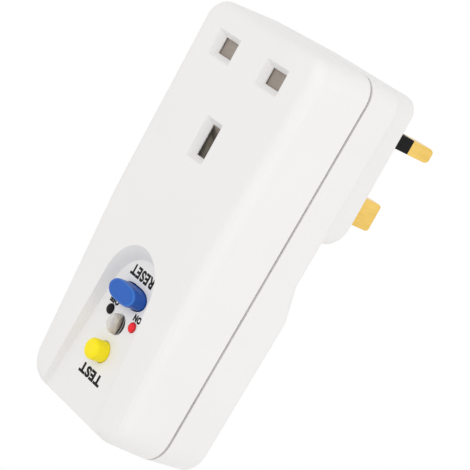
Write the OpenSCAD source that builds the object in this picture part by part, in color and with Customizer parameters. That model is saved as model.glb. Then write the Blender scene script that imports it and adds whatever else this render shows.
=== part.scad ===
// Residual current adapter plug: wall plug, socket and trip switch in one white housing.
// Every piece is drawn lying on its plug face: x across, y along the body, z from plug face to front.
// upright() then stands it against the wall: +Z up, front towards -Y, pins towards +Y.

/* [Body] */
// Width of the housing at the socket end
body_w = 52.8; // [51:0.2:56]
// Width of the housing at the button end
body_w_top = 48.6; // [47.6:0.2:52]
// Housing below the row of flat pins
body_below = 11.4; // [11.2:0.2:14]
// Housing above the row of flat pins
body_above = 100.5; // [99:0.1:106]
// Depth from the plug face to the front face
body_depth = 40; // [39:0.5:43]
// Depth of the front cover, down to the parting line
front_depth = 18.2; // [17.4:0.2:19.4]
// Plan radius of the corners at the socket end
corner_r_low = 6; // [5:0.5:8]
// Plan radius of the corners at the button end
corner_r_top = 8; // [7:0.5:10.5]
// Rounding of the front edges
edge_r = 3.4; // [2:0.1:4]
// Rounding of the rear edges
rear_edge_r = 1.6; // [1:0.1:2.5]
// Thickness of the side walls
wall = 2.4; // [2:0.1:2.6]
// Thickness of the front wall
front_wall = 2; // [1.8:0.1:3]
// Lean of the side walls from the parting line to the edges
draft = 0.5; // [0.2:0.1:0.8]
// Lean of the end walls from the parting line to the front edge
end_lean = 0.8; // [0.3:0.1:0.9]
// Height above the pins where the front starts to slope back
slope_y = 47; // [40:1:50]
// How far the front has sloped back at the button end
slope_drop = 2.6; // [1.5:0.1:2.8]
// Height of the open groove along the parting line
groove_h = 0.8; // [0.4:0.1:1]
// Depth of the open groove along the parting line
groove_d = 1.1; // [0.6:0.1:1.4]

/* [Rear] */
// Depth from the front face to the rear of the waist
waist_depth = 29.6; // [28.8:0.1:30.2]
// Depth from the front face to the rear at the foot of the button end
hump_depth = 32.7; // [32.5:0.1:34]
// Depth from the front face to the rear at the tip of the button end
hump_depth_top = 32.1; // [31.8:0.1:32.4]
// Height above the pins where the waist ends
waist_y = 44; // [42:0.5:46]
// Height above the pins where the deeper button end begins
hump_y = 53.6; // [52:0.2:55]
// Thickness of the rear wall behind the board
rear_wall = 2; // [1.6:0.1:2.2]
// Width of the plug face
boss_w = 41.2; // [40:0.2:44]
// Plug face above the row of flat pins
boss_above = 32.4; // [31:0.2:34]
// Plan radius of the plug face at the earth end
boss_r = 7.5; // [6:0.5:9]
// Plan radius of the plug face at the other end
boss_r_low = 4.5; // [3:0.5:7]
// Rounding of the plug face's edge
boss_edge_r = 2.2; // [1.5:0.1:2.8]
// Thickness of the plug face
boss_wall = 3; // [2.5:0.1:3.5]

/* [Pins] */
// Spacing of the flat pins, and of the earth pin above them
pin_pitch = 22.23; // [22:0.01:22.5]
// Width of a flat pin
flat_pin_w = 6.35; // [6.2:0.05:6.5]
// Thickness of all the pins
pin_t = 4; // [3.9:0.05:4.1]
// Length of a flat pin beyond the plug face
flat_pin_l = 17.7; // [17:0.1:18.2]
// Width of the earth pin
earth_pin_w = 8; // [7.8:0.05:8.1]
// Length of the earth pin beyond the plug face
earth_pin_l = 22.73; // [22:0.1:23.2]
// Length of the sleeve beyond the plug face
sleeve_l = 9.5; // [9:0.1:10]
// Thickness of the sleeve
sleeve_t = 0.5; // [0.4:0.05:0.7]
// Rounding of a pin's tip across its thickness
tip_chamfer = 1.8; // [0.8:0.1:1.9]
// Rounding of the earth pin's tip across its thickness
earth_tip = 1.4; // [0.8:0.1:1.9]
// Rounding of a pin's tip across its width
tip_side = 0.5; // [0.3:0.1:0.8]

/* [Socket] */
// Width of the line and neutral apertures
flat_slot_w = 6.9; // [6.6:0.1:7.2]
// Height of the line and neutral apertures
flat_slot_h = 4.5; // [4.4:0.1:4.8]
// Width of the earth aperture
earth_slot_w = 4.5; // [4.4:0.1:4.8]
// Height of the earth aperture
earth_slot_h = 8.6; // [8.4:0.1:8.9]
// Width of the bevel round each aperture
lead_w = 1.45; // [1:0.05:1.6]
// Depth of the bevel round each aperture
lead_d = 1.9; // [1.4:0.1:2.4]
// Thickness of the front wall at the apertures
pad_t = 2.2; // [2.1:0.1:3.4]
// Thickness of the shutter
shutter_t = 2.3; // [2:0.1:2.5]
// Travel of the shutter when an earth pin enters
shutter_travel = 5.2; // [5.1:0.1:5.6]
// Depth of the contact chambers
chamber_h = 13.9; // [12.8:0.1:14.2]

/* [Controls] */
// Depth of the control recess
recess_depth = 4.35; // [4:0.05:4.8]
// Radius of the recess arch at its rim
recess_r = 11.2; // [10.5:0.1:12]
// Radius of the recess arch at its floor
recess_floor_r = 10.2; // [9.5:0.1:10.6]
// Height of the arch rim above the pins
recess_y = 53.2; // [52:0.2:54]
// Height of the floor's arch above the pins
recess_floor_y = 56.4; // [56:0.2:57]
// Half width of the recess rim at the button end
recess_flare = 15.2; // [14:0.1:15.6]
// Half width of the recess floor at the button end
recess_floor_flare = 13.9; // [13:0.1:14.4]
// Thickness of the recess floor
floor_t = 2.2; // [1.8:0.1:2.4]
// Height of the reset button above the pins
reset_y = 66.1; // [65:0.1:66.4]
// Length of the reset button across the body
reset_l = 12.2; // [11:0.1:13.4]
// Length of each rounded end of the reset button
reset_end = 4.4; // [3:0.1:5]
// Width of the reset button along the body
reset_w = 5.3; // [4.8:0.1:6]
// How far the reset button stands above the front face
reset_proud = 0.1; // [0:0.1:1]
// Rounding of the edge of the reset button
reset_edge = 0.8; // [0.5:0.1:1.4]
// Travel of the reset button
reset_travel = 2.2; // [2:0.1:2.4]
// Height of the test button above the pins
test_y = 82.4; // [82:0.1:83.5]
// Radius of the test button
test_r = 2.85; // [2.7:0.05:3.2]
// How far the test button lies below the front face
test_sunk = 0; // [0:0.1:0.6]
// Rounding of the edge of the test button
test_edge = 1.2; // [0.6:0.1:2]
// Travel of the test button
test_travel = 1.2; // [1:0.1:1.3]
// Height of the indicator lens above the pins
lens_y = 74.3; // [74.1:0.1:74.8]
// Radius of the indicator lens
lens_r = 2.8; // [2.5:0.05:2.9]
// How far the lens dome stands above the recess floor
lens_dome = 3; // [2.4:0.1:3.4]
// Travel of the indicator flag for a full press of the reset button
flag_travel = 4.4; // [4:0.1:4.6]

/* [Mechanism] */
// Thickness of the circuit board
board_t = 1.4; // [1:0.1:1.6]
// Thickness of the frame's floor
frame_t = 1.4; // [1.2:0.1:1.6]
// Thickness of the current bars
bar_t = 0.8; // [0.6:0.05:0.9]
// Width of the current bars
bar_w = 5; // [4.6:0.1:5.2]
// Thickness of a contact tip
tip_t = 0.75; // [0.6:0.05:0.9]
// Radius of a contact tip
tip_r = 1.5; // [1.2:0.05:1.7]
// Spacing of the two tips of a moving contact
tip_span = 14.4; // [14:0.1:14.6]
// Sideways place of the moving contacts
contact_x = 9.5; // [9.2:0.1:9.8]
// Outer radius of the current transformer
toroid_r = 10; // [9.5:0.1:10.4]
// Bore radius of the current transformer's core
toroid_bore = 5.2; // [5:0.1:5.6]
// Length of the current transformer along the body
toroid_l = 9; // [8:0.2:10]
// Radius of the magnet coil
coil_r = 5.2; // [4.8:0.1:5.4]
// Radius of a spring's wire
wire_r = 0.22; // [0.18:0.01:0.24]

/* [Fasteners] */
// Radius of a screw's shank
screw_r = 1.45; // [1.3:0.05:1.6]
// Radius of a screw's head
screw_head_r = 2.7; // [2.5:0.1:2.9]
// Thickness of a screw's head
screw_head_t = 1.8; // [1.5:0.1:2]
// Wall of a screw post around the shank
post_wall = 1.7; // [1.5:0.1:1.8]

/* [Hidden] */

// Clearances: sliding pieces, pieces that are slipped together, pins in their slots
run = 0.3;
slip = 0.1;
pin_fit = 0.05;
// Air behind a plugged-in earth pin, under the board, and behind a button's flange
pin_end_gap = 1;
board_gap = 0.8;
flange_gap = 0.25;
// Overlap that joins two shapes of one moulding, and overshoot of a cut
bite = 0.5;
over = 1;
// Facets of hulled corners, steps of a rounded edge
hull_fn = 32;
edge_steps = 4;
$fn = 48;

white = [0.94, 0.935, 0.925];
black = [0.1, 0.09, 0.085];
brass = [0.86, 0.68, 0.32];
steel = [0.62, 0.63, 0.65];
copper = [0.72, 0.4, 0.22];
ivory = [0.86, 0.84, 0.78];

// Levels counted from the plug face
front_z = body_depth;
part_z = body_depth - front_depth;
front_open_z = part_z + groove_h / 2;
rear_open_z = part_z - groove_h / 2;
waist_z = body_depth - waist_depth;
hump_z = body_depth - hump_depth;
hump_top_z = body_depth - hump_depth_top;
rear_in_z = max(hump_z, hump_top_z) + rear_wall;
waist_in_z = waist_z + rear_wall;
board_z = rear_in_z + board_gap;
frame_z = board_z + board_t;
base_z = frame_z + frame_t;
fixed_tip_z = base_z + bar_t + tip_t;
moving_tip_z = fixed_tip_z + reset_travel + 0.05;
strip_z = moving_tip_z + tip_t;
holder_h = 2.4;
bar_z = strip_z + bar_t + holder_h;
carriage_t = 2.4;
boss_rise = 0.6;
carriage_top_z = bar_z + carriage_t + boss_rise;
stem_end_z = carriage_top_z + 0.2;
bridge_z = bar_z + carriage_t + 1.6;
bridge_t = 1.2;
bridge_top_z = bridge_z + bridge_t;
floor_z = front_z - recess_depth;
under_z = floor_z - floor_t;
flange_z = under_z - flange_gap;
flange_t = 1.6;
pad_z = front_z - pad_t;
shutter_z = pad_z - run;
carrier_z = shutter_z - shutter_t - run;
carrier_back_z = carrier_z - chamber_h;
earth_well_z = front_z - earth_pin_l - pin_end_gap;

// Places along and across the body
low_y = -body_below;
top_y = body_above;
flat_x = pin_pitch / 2;
earth_y = pin_pitch;
low_c_y = low_y + corner_r_low;
top_c_y = top_y - corner_r_top;
rim_c_y = recess_y + recess_r;
floor_c_y = recess_floor_y + recess_floor_r;
taper = (body_w - body_w_top) / 2 / (top_c_y - low_c_y);
function half_w(y) = body_w / 2 - taper * (y - low_c_y);
function front_at(y) = front_z - slope_drop * max(0, y - slope_y) / (top_y - slope_y);
// Plain posts that carry the sides between the corners
side_r = edge_r + 0.6;
// Spread of the plug boss at its foot
boss_flare = 0.6;

// Screws: two beside the waist, two at the button end
post_r = screw_r + post_wall;
waist_screw_y = 38;
waist_screw_x = half_w(waist_screw_y) - wall - post_r + 0.9;
top_screw_x = 13;
top_screw_y = top_y - wall - post_r + 0.9;
screw_seats = [
    [waist_screw_x, waist_screw_y, waist_z],
    [-waist_screw_x, waist_screw_y, waist_z],
    [top_screw_x, top_screw_y, hump_top_z],
    [-top_screw_x, top_screw_y, hump_top_z]
];
screw_sink = 0.6;
screw_reach = 10;
slot_w = 0.6;
slot_d = 1;

// Pin heads and what traps them
head_x = 4;
head_y = 3;
earth_head_y = 5;
earth_head_t = 3;
strap_x = 1.6;
retainer_x = 16;
retainer_y = 4;
retainer_t = 2.5;
retainer_leg_x = 4.6;
retainer_leg_w = 2.8;
boss_in_x = 18.5;
boss_in_y0 = -7.6;
boss_in_y1 = 28.6;
mid_post_y = 9;
mid_post_r = 3;

// Block with the contact chambers, its rails in the front cover and its spring grips
carrier_x = 18.4;
carrier_y0 = -7.4;
carrier_y1 = 28.4;
carrier_foot_w = 2.2;
carrier_foot_l = 3;
flat_room_x = 4.2;
flat_room_y = 3.6;
earth_room_x = 3.9;
earth_room_y = 4.9;
room_wall = 1;
pad_x = 19;
pad_y0 = -8.4;
pad_y1 = 30.4;
rail_t = 1.5;
rail_h = 6;
rail_y0 = -6;
rail_y1 = 27;
grip_leaf = 0.7;
grip_base = 3;
grip_pinch = 1.75;
grip_mouth = 2.6;
grip_l = 6.4;
grip_h = 8.2;
earth_grip_l = 7.6;
earth_grip_h = shutter_z - shutter_travel - 2 * run - earth_well_z;

// Shutter and its spring
shutter_x = 15.5;
shutter_half = 2.9;
shutter_stem_x = 4.5;
shutter_slot_x = 2.2;
shutter_slot_y0 = 4;
shutter_slot_y = 15.5;
shutter_head_y = earth_y - pin_t + shutter_travel;
shutter_stop_x = 1.8;
shutter_stop_t = 1.5;
shutter_seat_y = 5.8;
shutter_coil_r = 1.05;

// The switch
frame_y0 = 52;
frame_y1 = 91;
frame_x = 20.3;
frame_wall = 1.5;
bridge_y0 = 59;
bridge_y1 = 69.6;
carriage_x = 17.2;
carriage_y0 = 60;
carriage_y1 = 71.6;
carriage_boss_x = 3;
carriage_boss_y = 2.8;
holder_x = 3;
holder_y = 3.8;
spring_x = 15;
carriage_coil_r = 1.4;
carriage_pin_r = 0.9;
reset_coil_r = 3;
stem_x = 2;
stem_y = 1.5;
frame_side_y = 76;
hold_down_y0 = 54;
hold_down_y1 = 72.5;
hold_down_w = 2.5;
limb_y = 72.2;
limb_t = 1.8;
yoke_x = 2.5;
coil_y0 = limb_y + limb_t;
coil_y1 = 88;
core_t = 3;
bobbin_r = coil_r + 0.4;
bobbin_tube_r = 3.6;
bobbin_end_t = 1;
yoke_bar_t = 1.2;
core_c_z = base_z + yoke_bar_t + 2 * slip + bobbin_r;
core_z = core_c_z - core_t / 2;
pole_gap = 0.1;
armature_t = 1.8;
armature_x = 4.5;
armature_y = 4.8;
pole_t = 2.5;
shoe_t = 1.7;
pole_z = bar_z - armature_t - reset_travel - pole_gap;

// Inlet bars: at the pins, through the transformer, on the switch
head_t = 4;
pin_bar_z = boss_wall + head_t;
pin_bar_y = 27.6;
step_gap = 1.3;
step_z = waist_in_z + step_gap;
cross_y = 31;
riser_w = 1.4;
through_x = 1;
through_lift = 10.1;
through_z = waist_in_z + through_lift;
through_w = 5;
drop_y = 49;
toroid_y = 36.5;
toroid_z = through_z + through_w / 2;
winding_t = 1.4;
cradle_x = 7;
cradle_h = 2;

// Board and its components
board_x = frame_x - 1.3;
board_y0 = frame_y0 + 1;
board_y1 = frame_y1 - 0.4;
board_post_x = 16;
board_post_y0 = 56;
board_post_y1 = 87;
board_post_r = 2.4;
window_x0 = 6;
window_x1 = 18.5;
window_y0 = 76.5;
window_y1 = 89.6;
chip_x = 9.2;
chip_y = 78;
chip_w = 6.4;
chip_l = 9.6;
chip_h = 3.1;
chip_pitch = 2.54;
chip_lead = 0.6;
varistor_x = -12.6;
varistor_y = 88.6;
varistor_r = 4.6;
varistor_t = 3.4;
varistor_lead_x = 2.5;
varistor_lead_r = 0.4;
capacitor_x = -9.6;
capacitor_y = 79.4;
capacitor_r = 2.6;
capacitor_h = 9;
resistor_x = -16.6;
resistor_y = 78.4;
resistor_r = 1.2;
resistor_l = 5;
resistor_lead_l = 1;
resistor_lead_r = 0.3;
diode_x0 = 4;
diode_x1 = 9;
diode_w = 2.6;
diode_l = 2.8;
diode_t = 0.6;

// Outlet bars: along the chambers, down beside the frame, under the moving contacts
outlet_x = 13.4;
outlet_w = 4;
outlet_z = carrier_back_z - bar_t;
outlet_drop_y = 51;
side_bar_x = frame_x - frame_wall - 1.4;
side_bar_h = 5;

// Indicator flag and its cam
flag_z = under_z - 3;
flag_t = 1;
flag_half = 2.6;
lens_flange_r = lens_r + 0.8;
lens_flange_t = 1;
dome_r = lens_r + slip;
guide_y = lens_y + lens_flange_r + run;
guide_x = 9;
guide_t = 0.7;
guide_lip = 1.2;
cam_pin_r = 0.8;
cam_arm_x = 1.1;
cam_arm_t = 1.4;
cam_x = 3;
cam_z = flag_z - 0.65;
cam_y = carriage_y1 + 0.3;
web_t = 1;
web_rim = 1.5;

// Test contact
leaf_t = 0.4;
leaf_gap = 0.2;
test_stem_z = flange_z - flange_t - 2;
leaf_z = test_stem_z - leaf_gap - leaf_t;
test_post_x = 6.4;
test_anchor_x = -17;
test_anchor_w = 1.6;
test_post_w = 1;
leaf_half = 2;
test_post_half = 1.5;
test_stem_r = 1.6;
test_flange_x = test_r + 1.8;
test_flange_y = 2.3;
reset_flange_x = 1.5;
reset_flange_y = 1.3;

module upright() rotate([90, 0, 0]) children();

// A box from its lowest to its highest place on each axis
module block(x, y, z)
    translate([x[0], y[0], z[0]])
        cube([x[1] - x[0], y[1] - y[0], z[1] - z[0]]);

// The same shape on the line side and the neutral side
module both_sides() {
    children();
    mirror([1, 0, 0]) children();
}

// Extrude a profile drawn in y and z across the body
module across(x0, x1)
    translate([x0, 0, 0]) rotate([90, 0, 90]) linear_extrude(x1 - x0) children();

// Corners of a moulding, as [side, middle along the body, plan radius]
function side_corner(y) = [half_w(y), y, side_r];
function leaning(c, lean_y) = [c[0] - draft, c[1] + lean_y, c[2]];
low_corner = [body_w / 2, low_c_y, corner_r_low];
top_corner = [body_w_top / 2, top_c_y, corner_r_top];

module disc_pair(c, z)
    both_sides()
        translate([c[0] - c[2], c[1], z])
            cylinder(r = c[2], h = slip, $fn = hull_fn);

// Upright round with a rounded edge at edge_z, reaching back to open_z
module rounded(r, open_z, edge_z, edge) {
    way = sign(edge_z - open_z);
    rotate_extrude($fn = hull_fn)
        polygon(concat(
            [[0, open_z], [r, open_z]],
            [for (i = [0 : edge_steps])
                [r - edge + edge * cos(90 * i / edge_steps),
                 edge_z - way * edge * (1 - sin(90 * i / edge_steps))]],
            [[0, edge_z]]
        ));
}

module edge_pair(c, edge_z, edge, way)
    both_sides()
        translate([c[0] - c[2], c[1], 0])
            rounded(c[2], edge_z - way * (edge + slip), edge_z, edge);

// Outline of the inner space, with its corners cut across
module inner_outline(y0, y1, cut0, cut1) {
    x0 = half_w(max(y0, low_c_y)) - wall;
    x1 = half_w(min(y1, top_c_y)) - wall;
    polygon([
        [x0 - cut0, y0], [x0, y0 + cut0], [x1, y1 - cut1], [x1 - cut1, y1],
        [-x1 + cut1, y1], [-x1, y1 - cut1], [-x0, y0 + cut0], [-x0 + cut0, y0]
    ]);
}

// The scooped recess: a round arch that flares towards the open button end
module recess(grow, bottom_z) {
    end_y = top_y + 2 * over;
    hull() {
        translate([0, floor_c_y, bottom_z])
            cylinder(r = recess_floor_r + grow, h = slip, $fn = hull_fn);
        block([-recess_floor_flare - grow, recess_floor_flare + grow],
              [top_y, end_y], [bottom_z, bottom_z + slip]);
        translate([0, rim_c_y, front_z])
            cylinder(r = recess_r + grow, h = over, $fn = hull_fn);
        block([-recess_flare - grow, recess_flare + grow],
              [top_y, end_y], [front_z, front_z + over]);
    }
}

// A bevelled aperture through the front wall
module aperture(x, y, w, h) {
    translate([x, y, pad_z - over])
        linear_extrude(pad_t + 2 * over)
            square([w, h], center = true);
    flare = [(w + 2 * lead_w) / w, (h + 2 * lead_w) / h];
    translate([x, y, front_z - lead_d])
        linear_extrude(lead_d + slip, scale = flare, slices = 1, segments = 1)
            square([w, h], center = true);
}

// The reset button's outline, each end stretched from a shape of radius r
module oval(r)
    hull()
        both_sides()
            translate([reset_l / 2 - reset_end, 0, 0])
                scale([(reset_end - reset_w / 2 + r) / r, 1, 1])
                    children();

// One end of the front cover, from the parting line to its rounded edge
module front_end(c, lean_y, edge_z) {
    disc_pair(c, front_open_z);
    edge_pair(leaning(c, lean_y), edge_z, edge_r, 1);
}

module front_shape() {
    hull() {
        front_end(low_corner, end_lean, front_z);
        front_end(side_corner(slope_y), 0, front_z);
    }
    hull() {
        front_end(side_corner(slope_y), 0, front_z);
        front_end(top_corner, -end_lean, front_z - slope_drop);
    }
}

module front_space() {
    shoulder_y = slope_y + 3;
    difference() {
        union() {
            translate([0, 0, part_z - over])
                linear_extrude(front_z - front_wall - part_z + over)
                    inner_outline(low_y + wall, shoulder_y, 3, 0);
            translate([0, 0, part_z - over])
                linear_extrude(front_z - slope_drop - front_wall - part_z + over)
                    inner_outline(shoulder_y - bite, top_y - wall, 0, 5);
        }
        recess(floor_t, under_z);
    }
}

// Ribs, pads and posts inside the front cover
module front_inside() {
    rail_x = carrier_x + run;
    stop_y = [shutter_seat_y - shutter_stop_t, shutter_seat_y];
    guide_z = flag_z - flag_t - run;
    block([-pad_x, pad_x], [pad_y0, pad_y1], [pad_z, front_z - front_wall + bite]);
    both_sides()
        block([rail_x, rail_x + rail_t], [rail_y0, rail_y1], [carrier_z - rail_h, pad_z + bite]);
    block([-shutter_stop_x, shutter_stop_x], stop_y, [shutter_z - shutter_t, pad_z + bite]);
    both_sides()
        for (y = [hold_down_y0, hold_down_y1])
            block([frame_x - frame_wall, frame_x], [y, y + hold_down_w],
                  [bridge_top_z, front_at(y) - front_wall + bite]);
    for (s = screw_seats) {
        end_z = s[1] < slope_y ? front_z - front_wall : under_z;
        translate([s[0], s[1], front_open_z])
            cylinder(r = post_r, h = end_z + bite - front_open_z);
    }
    block([-guide_x, guide_x], [guide_y, guide_y + guide_t], [guide_z - guide_t, under_z + bite]);
    block([-guide_x, guide_x], [guide_y - guide_lip, guide_y + guide_t], [guide_z - guide_t, guide_z]);
}

module front_cover() color(white) upright()
    difference() {
        union() {
            difference() {
                front_shape();
                front_space();
            }
            front_inside();
        }
        recess(0, floor_z);
        aperture(flat_x, 0, flat_slot_w, flat_slot_h);
        aperture(-flat_x, 0, flat_slot_w, flat_slot_h);
        aperture(0, earth_y, earth_slot_w, earth_slot_h);
        translate([0, reset_y, under_z - over])
            oval(reset_w / 2 + run)
                cylinder(r = reset_w / 2 + run, h = floor_t + 2 * over, $fn = hull_fn);
        translate([0, test_y, under_z - over])
            cylinder(r = test_r + run / 2, h = floor_t + 2 * over);
        translate([0, lens_y, under_z - over])
            cylinder(r = lens_r + slip, h = floor_t + 2 * over);
        for (s = screw_seats)
            translate([s[0], s[1], front_open_z - over])
                cylinder(r = screw_r + slip / 2, h = screw_reach + over);
    }

// One end of the rear cover, from the parting line to its rounded edge
module rear_end(c, edge_z) {
    disc_pair(c, rear_open_z - slip);
    edge_pair(leaning(c, 0), edge_z, rear_edge_r, -1);
}

module rear_shape() {
    foot_z = waist_z + rear_edge_r + bite;
    boss_foot = [half_w(boss_above), boss_above + boss_flare - boss_r, boss_r];
    hull() {
        rear_end(low_corner, waist_z);
        rear_end(side_corner(waist_y), waist_z);
    }
    hull() {
        rear_end(side_corner(waist_y), waist_z);
        rear_end(side_corner(hump_y), hump_z);
        rear_end(top_corner, hump_top_z);
    }
    hull() {
        disc_pair(leaning(low_corner, 0), foot_z);
        disc_pair(leaning(boss_foot, 0), foot_z);
        edge_pair([boss_w / 2, low_y + boss_r_low, boss_r_low], 0, boss_edge_r, -1);
        edge_pair([boss_w / 2, boss_above - boss_r, boss_r], 0, boss_edge_r, -1);
    }
    // lip that locates the front cover and closes the groove
    hull()
        for (c = [low_corner, top_corner])
            both_sides()
                translate([c[0] - c[2], c[1], rear_open_z - bite])
                    cylinder(r = c[2] - groove_d, h = groove_h + bite, $fn = hull_fn);
}

module rear_space() {
    translate([0, 0, waist_in_z])
        linear_extrude(part_z - waist_in_z + over)
            inner_outline(low_y + wall, top_y - wall, 3, 5);
    translate([0, 0, rear_in_z])
        linear_extrude(part_z - rear_in_z)
            inner_outline(frame_y0 - board_gap, top_y - wall, 1, 5);
    block([-boss_in_x, boss_in_x], [boss_in_y0, boss_in_y1], [boss_wall, waist_in_z + bite]);
}

// Posts inside the rear cover
module rear_inside() {
    cradle_y = [toroid_y + bite, toroid_y + toroid_l - bite];
    foot_z = min(rear_in_z, waist_in_z) - bite;
    translate([0, mid_post_y, boss_wall - bite])
        cylinder(r = mid_post_r, h = carrier_back_z - boss_wall + bite);
    both_sides()
        for (y = [board_post_y0, board_post_y1])
            translate([board_post_x, y, foot_z])
                cylinder(r = board_post_r, h = board_z - foot_z);
    for (s = screw_seats)
        translate([s[0], s[1], s[2] + bite])
            cylinder(r = post_r, h = front_open_z - s[2] - bite);
    difference() {
        block([-cradle_x, cradle_x], cradle_y, [waist_in_z - bite, toroid_z - toroid_r + cradle_h]);
        translate([0, toroid_y, toroid_z])
            rotate([-90, 0, 0])
                cylinder(r = toroid_r + slip, h = toroid_l);
    }
}

module rear_cover() color(white) upright()
    difference() {
        union() {
            difference() {
                rear_shape();
                rear_space();
            }
            rear_inside();
        }
        both_sides()
            translate([flat_x, 0, -over])
                linear_extrude(boss_wall + 2 * over)
                    square([flat_pin_w + 2 * pin_fit, pin_t + 2 * pin_fit], center = true);
        translate([0, earth_y, -over])
            linear_extrude(boss_wall + 2 * over)
                square([pin_t + 2 * pin_fit, earth_pin_w + 2 * pin_fit], center = true);
        for (s = screw_seats)
            translate([s[0], s[1], 0]) {
                cylinder(r = screw_r + 2 * slip, h = part_z + over);
                translate([0, 0, s[2] - over])
                    cylinder(r = screw_head_r + run, h = screw_sink + screw_head_t + over);
            }
    }

module cover_screws() color(steel) upright()
    for (s = screw_seats)
        translate([s[0], s[1], s[2] + screw_sink])
            difference() {
                union() {
                    cylinder(r = screw_head_r, h = screw_head_t);
                    cylinder(r = screw_r, h = front_open_z + screw_reach - bite - s[2] - screw_sink);
                }
                for (a = [0, 90])
                    rotate([0, 0, a])
                        cube([2 * screw_r, slot_w, 2 * slot_d], center = true);
            }

// Bar with a tip rounded by tip: w across, t thick, from tip_z up to top_z
module pin_bar(w, t, tip_z, top_z, tip) {
    module side(s, round) {
        edge = [
            for (i = [0 : edge_steps])
                let (a = 90 * i / edge_steps)
                    [s / 2 - round * (1 - cos(a)), tip_z + round * (1 - sin(a))]
        ];
        polygon(concat([[s / 2, top_z]], edge, [for (i = [edge_steps : -1 : 0]) [-edge[i][0], edge[i][1]]],
                       [[-s / 2, top_z]]));
    }
    intersection() {
        across(-w / 2, w / 2) side(t, tip);
        rotate([90, 0, 0]) linear_extrude(t, center = true) side(w, tip_side);
    }
}

module flat_pin() {
    neck_w = flat_pin_w - 2 * sleeve_t;
    neck_t = pin_t - 2 * sleeve_t;
    translate([flat_x, 0, 0]) {
        pin_bar(flat_pin_w, pin_t, -flat_pin_l, -sleeve_l, tip_chamfer);
        block([-neck_w / 2, neck_w / 2], [-neck_t / 2, neck_t / 2], [-sleeve_l - bite, boss_wall + bite]);
        block([-head_x, head_x], [-head_y, head_y], [boss_wall, pin_bar_z]);
    }
}

module line_pin() color(brass) upright() flat_pin();
module neutral_pin() color(brass) upright() mirror([1, 0, 0]) flat_pin();

module earth_pin() color(brass) upright()
    translate([0, earth_y, 0]) {
        pin_bar(pin_t, earth_pin_w, -earth_pin_l, boss_wall + bite, earth_tip);
        block([-head_x, head_x], [-earth_head_y, earth_head_y], [boss_wall, boss_wall + earth_head_t]);
        block([-strap_x, strap_x], [-head_y, head_y], [boss_wall, earth_well_z + run]);
    }

module sleeve() {
    neck_w = flat_pin_w - 2 * sleeve_t;
    neck_t = pin_t - 2 * sleeve_t;
    translate([flat_x, 0, -sleeve_l])
        linear_extrude(sleeve_l + boss_wall)
            difference() {
                square([flat_pin_w, pin_t], center = true);
                square([neck_w, neck_t], center = true);
            }
}

module line_pin_sleeve() color(black) upright() sleeve();
module neutral_pin_sleeve() color(black) upright() mirror([1, 0, 0]) sleeve();

module pin_retainer() color(ivory) upright() {
    plate_z = pin_bar_z + bar_t;
    leg_x = [retainer_leg_x, retainer_leg_x + retainer_leg_w];
    block([-retainer_x, retainer_x], [-retainer_y, retainer_y], [plate_z, plate_z + retainer_t]);
    both_sides()
        block(leg_x, [-head_y, head_y], [plate_z, carrier_back_z]);
}

module contact_carrier() color(ivory) upright() {
    room_y = earth_room_y + room_wall;
    difference() {
        union() {
            block([-carrier_x, carrier_x], [carrier_y0, carrier_y1], [carrier_back_z, carrier_z]);
            block([-earth_room_x - room_wall, earth_room_x + room_wall], [earth_y - room_y, earth_y + room_y],
                  [earth_well_z, carrier_back_z + bite]);
            both_sides()
                for (y = [carrier_y0, carrier_y1 - carrier_foot_l])
                    block([carrier_x - carrier_foot_w, carrier_x], [y, y + carrier_foot_l],
                          [carrier_z - bite, pad_z]);
        }
        both_sides()
            block([flat_x - flat_room_x, flat_x + flat_room_x], [-flat_room_y, flat_room_y],
                  [carrier_back_z - over, carrier_z + over]);
        block([-earth_room_x, earth_room_x], [earth_y - earth_room_y, earth_y + earth_room_y],
              [earth_well_z - over, carrier_z + over]);
        block([-shutter_stem_x - run, shutter_stem_x + run],
              [shutter_slot_y - shutter_travel - run, shutter_head_y + run],
              [carrier_z - shutter_travel + shutter_t - 2 * run, carrier_z + over]);
    }
}

// Folded spring grip: a base with two leaves that pinch a pin and flare at the mouth
module grip_profile(mouth_z) {
    pinch_z = 0.68 * mouth_z;
    polygon([
        [-grip_mouth - grip_leaf, mouth_z], [-grip_pinch - grip_leaf, pinch_z], [-grip_base, 0],
        [grip_base, 0], [grip_pinch + grip_leaf, pinch_z], [grip_mouth + grip_leaf, mouth_z],
        [grip_mouth, mouth_z], [grip_pinch, pinch_z], [grip_base - grip_leaf, grip_leaf],
        [-grip_base + grip_leaf, grip_leaf], [-grip_pinch, pinch_z], [-grip_mouth, mouth_z]
    ]);
}

module flat_grip()
    translate([0, 0, carrier_back_z + run])
        across(flat_x - grip_l / 2, flat_x + grip_l / 2)
            grip_profile(grip_h);

module line_socket_contact() color(brass) upright() flat_grip();
module neutral_socket_contact() color(brass) upright() mirror([1, 0, 0]) flat_grip();

module earth_socket_contact() color(brass) upright()
    translate([0, earth_y, earth_well_z + run])
        rotate([90, 0, 0])
            linear_extrude(earth_grip_l, center = true)
                grip_profile(earth_grip_h - run);

// Shutter: a bar over the flat apertures, a stem and a wedge that the earth pin pushes aside
module shutter() color(ivory) upright()
    difference() {
        plate_z = [shutter_z - shutter_t, shutter_z];
        union() {
            block([-shutter_x, shutter_x], [-shutter_half, shutter_half], plate_z);
            block([-shutter_stem_x, shutter_stem_x], [0, shutter_slot_y + bite], plate_z);
            across(-shutter_stem_x, shutter_stem_x)
                polygon([
                    [shutter_slot_y, shutter_z], [shutter_head_y - shutter_travel, shutter_z],
                    [shutter_head_y, shutter_z - shutter_travel], [shutter_slot_y, shutter_z - shutter_travel]
                ]);
        }
        block([-shutter_slot_x, shutter_slot_x], [shutter_slot_y0, shutter_slot_y],
              [plate_z[0] - over, plate_z[1] + over]);
    }

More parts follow.
